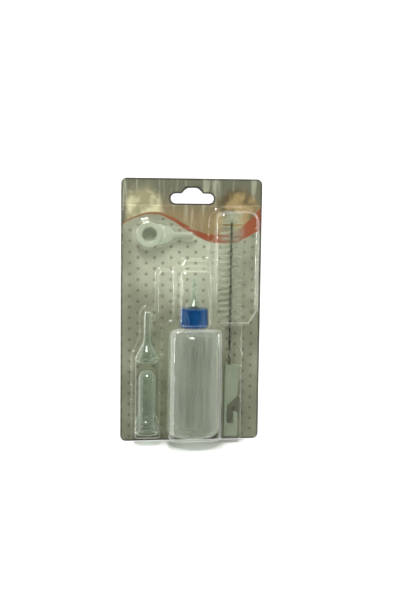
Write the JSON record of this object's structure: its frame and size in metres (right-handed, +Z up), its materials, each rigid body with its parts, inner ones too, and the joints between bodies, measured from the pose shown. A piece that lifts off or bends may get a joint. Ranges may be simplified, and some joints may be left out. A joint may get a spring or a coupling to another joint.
{
  "type": "finger toothbrush in a carded pet feeding and grooming kit",
  "caption": "Hanging card with a clear blister that holds a finger toothbrush, squeeze bottle with screw collar and teat, spare teats and a bottle brush.",
  "frame": {"origin": "centre of the hang slot on the card's front face", "axes": "+Z up the card, +X to the right as seen from the front, the front faces -Y; the card hangs by its slot"},
  "size_m": [0.1046, 0.0409, 0.1955],
  "materials": {
    "printed_board": "gloss-printed grey-green board with a soft brown and orange header",
    "clear_film": "clear thermoformed film",
    "bottle_plastic": "clouded squeezable polythene",
    "collar_plastic": "moulded blue",
    "silicone": "clear to milky soft silicone",
    "handle_plastic": "milky white moulded plastic",
    "bristle_nylon": "pale nylon filament",
    "steel_wire": "twisted galvanised wire"
  },
  "bodies": {
    "card": {"backing_card": "printed_board", "header_film": "clear_film", "bottle_body": "bottle_plastic", "spare_teat_long": "silicone", "spare_teat_bent": "silicone", "finger_toothbrush": "silicone", "brush_handle": "handle_plastic", "brush_wire": "steel_wire", "bristle_end_tuft": "bristle_nylon", "bristle_turn_01": "bristle_nylon", "bristle_turn_02": "bristle_nylon", "bristle_turn_03": "bristle_nylon", "bristle_turn_04": "bristle_nylon", "bristle_turn_05": "bristle_nylon", "bristle_turn_06": "bristle_nylon", "bristle_turn_07": "bristle_nylon", "bristle_turn_08": "bristle_nylon", "bristle_turn_09": "bristle_nylon", "bristle_turn_10": "bristle_nylon", "bristle_turn_11": "bristle_nylon", "bristle_turn_12": "bristle_nylon", "bristle_turn_13": "bristle_nylon", "bristle_turn_14": "bristle_nylon", "bristle_turn_15": "bristle_nylon", "bristle_turn_16": "bristle_nylon"},
    "teat": {"fitted_teat": "silicone"},
    "collar": {"screw_collar": "collar_plastic"},
    "blister": {"blister_shell": "clear_film"}
  },
  "joints": [
    {"name": "blister_peel", "type": "hinge", "parent": "card", "child": "blister", "pos_m": [0, -0.0005, -0.005], "axis": [-1, 0, 0], "range_deg": [0, 90]},
    {"name": "teat_lift", "type": "slide", "parent": "card", "child": "teat", "axis": [0, 0, 1], "range_m": [0, 0.0045]},
    {"name": "collar_turn", "type": "hinge", "parent": "teat", "child": "collar", "pos_m": [-0.0005, -0.0201, -0.085], "axis": [0, 0, 1], "range_deg": [0, 540]}
  ],
  "couplings": [
    {"joint": "teat_lift", "follows": "collar_turn", "m_per_rad": 0.00047746}
  ]
}
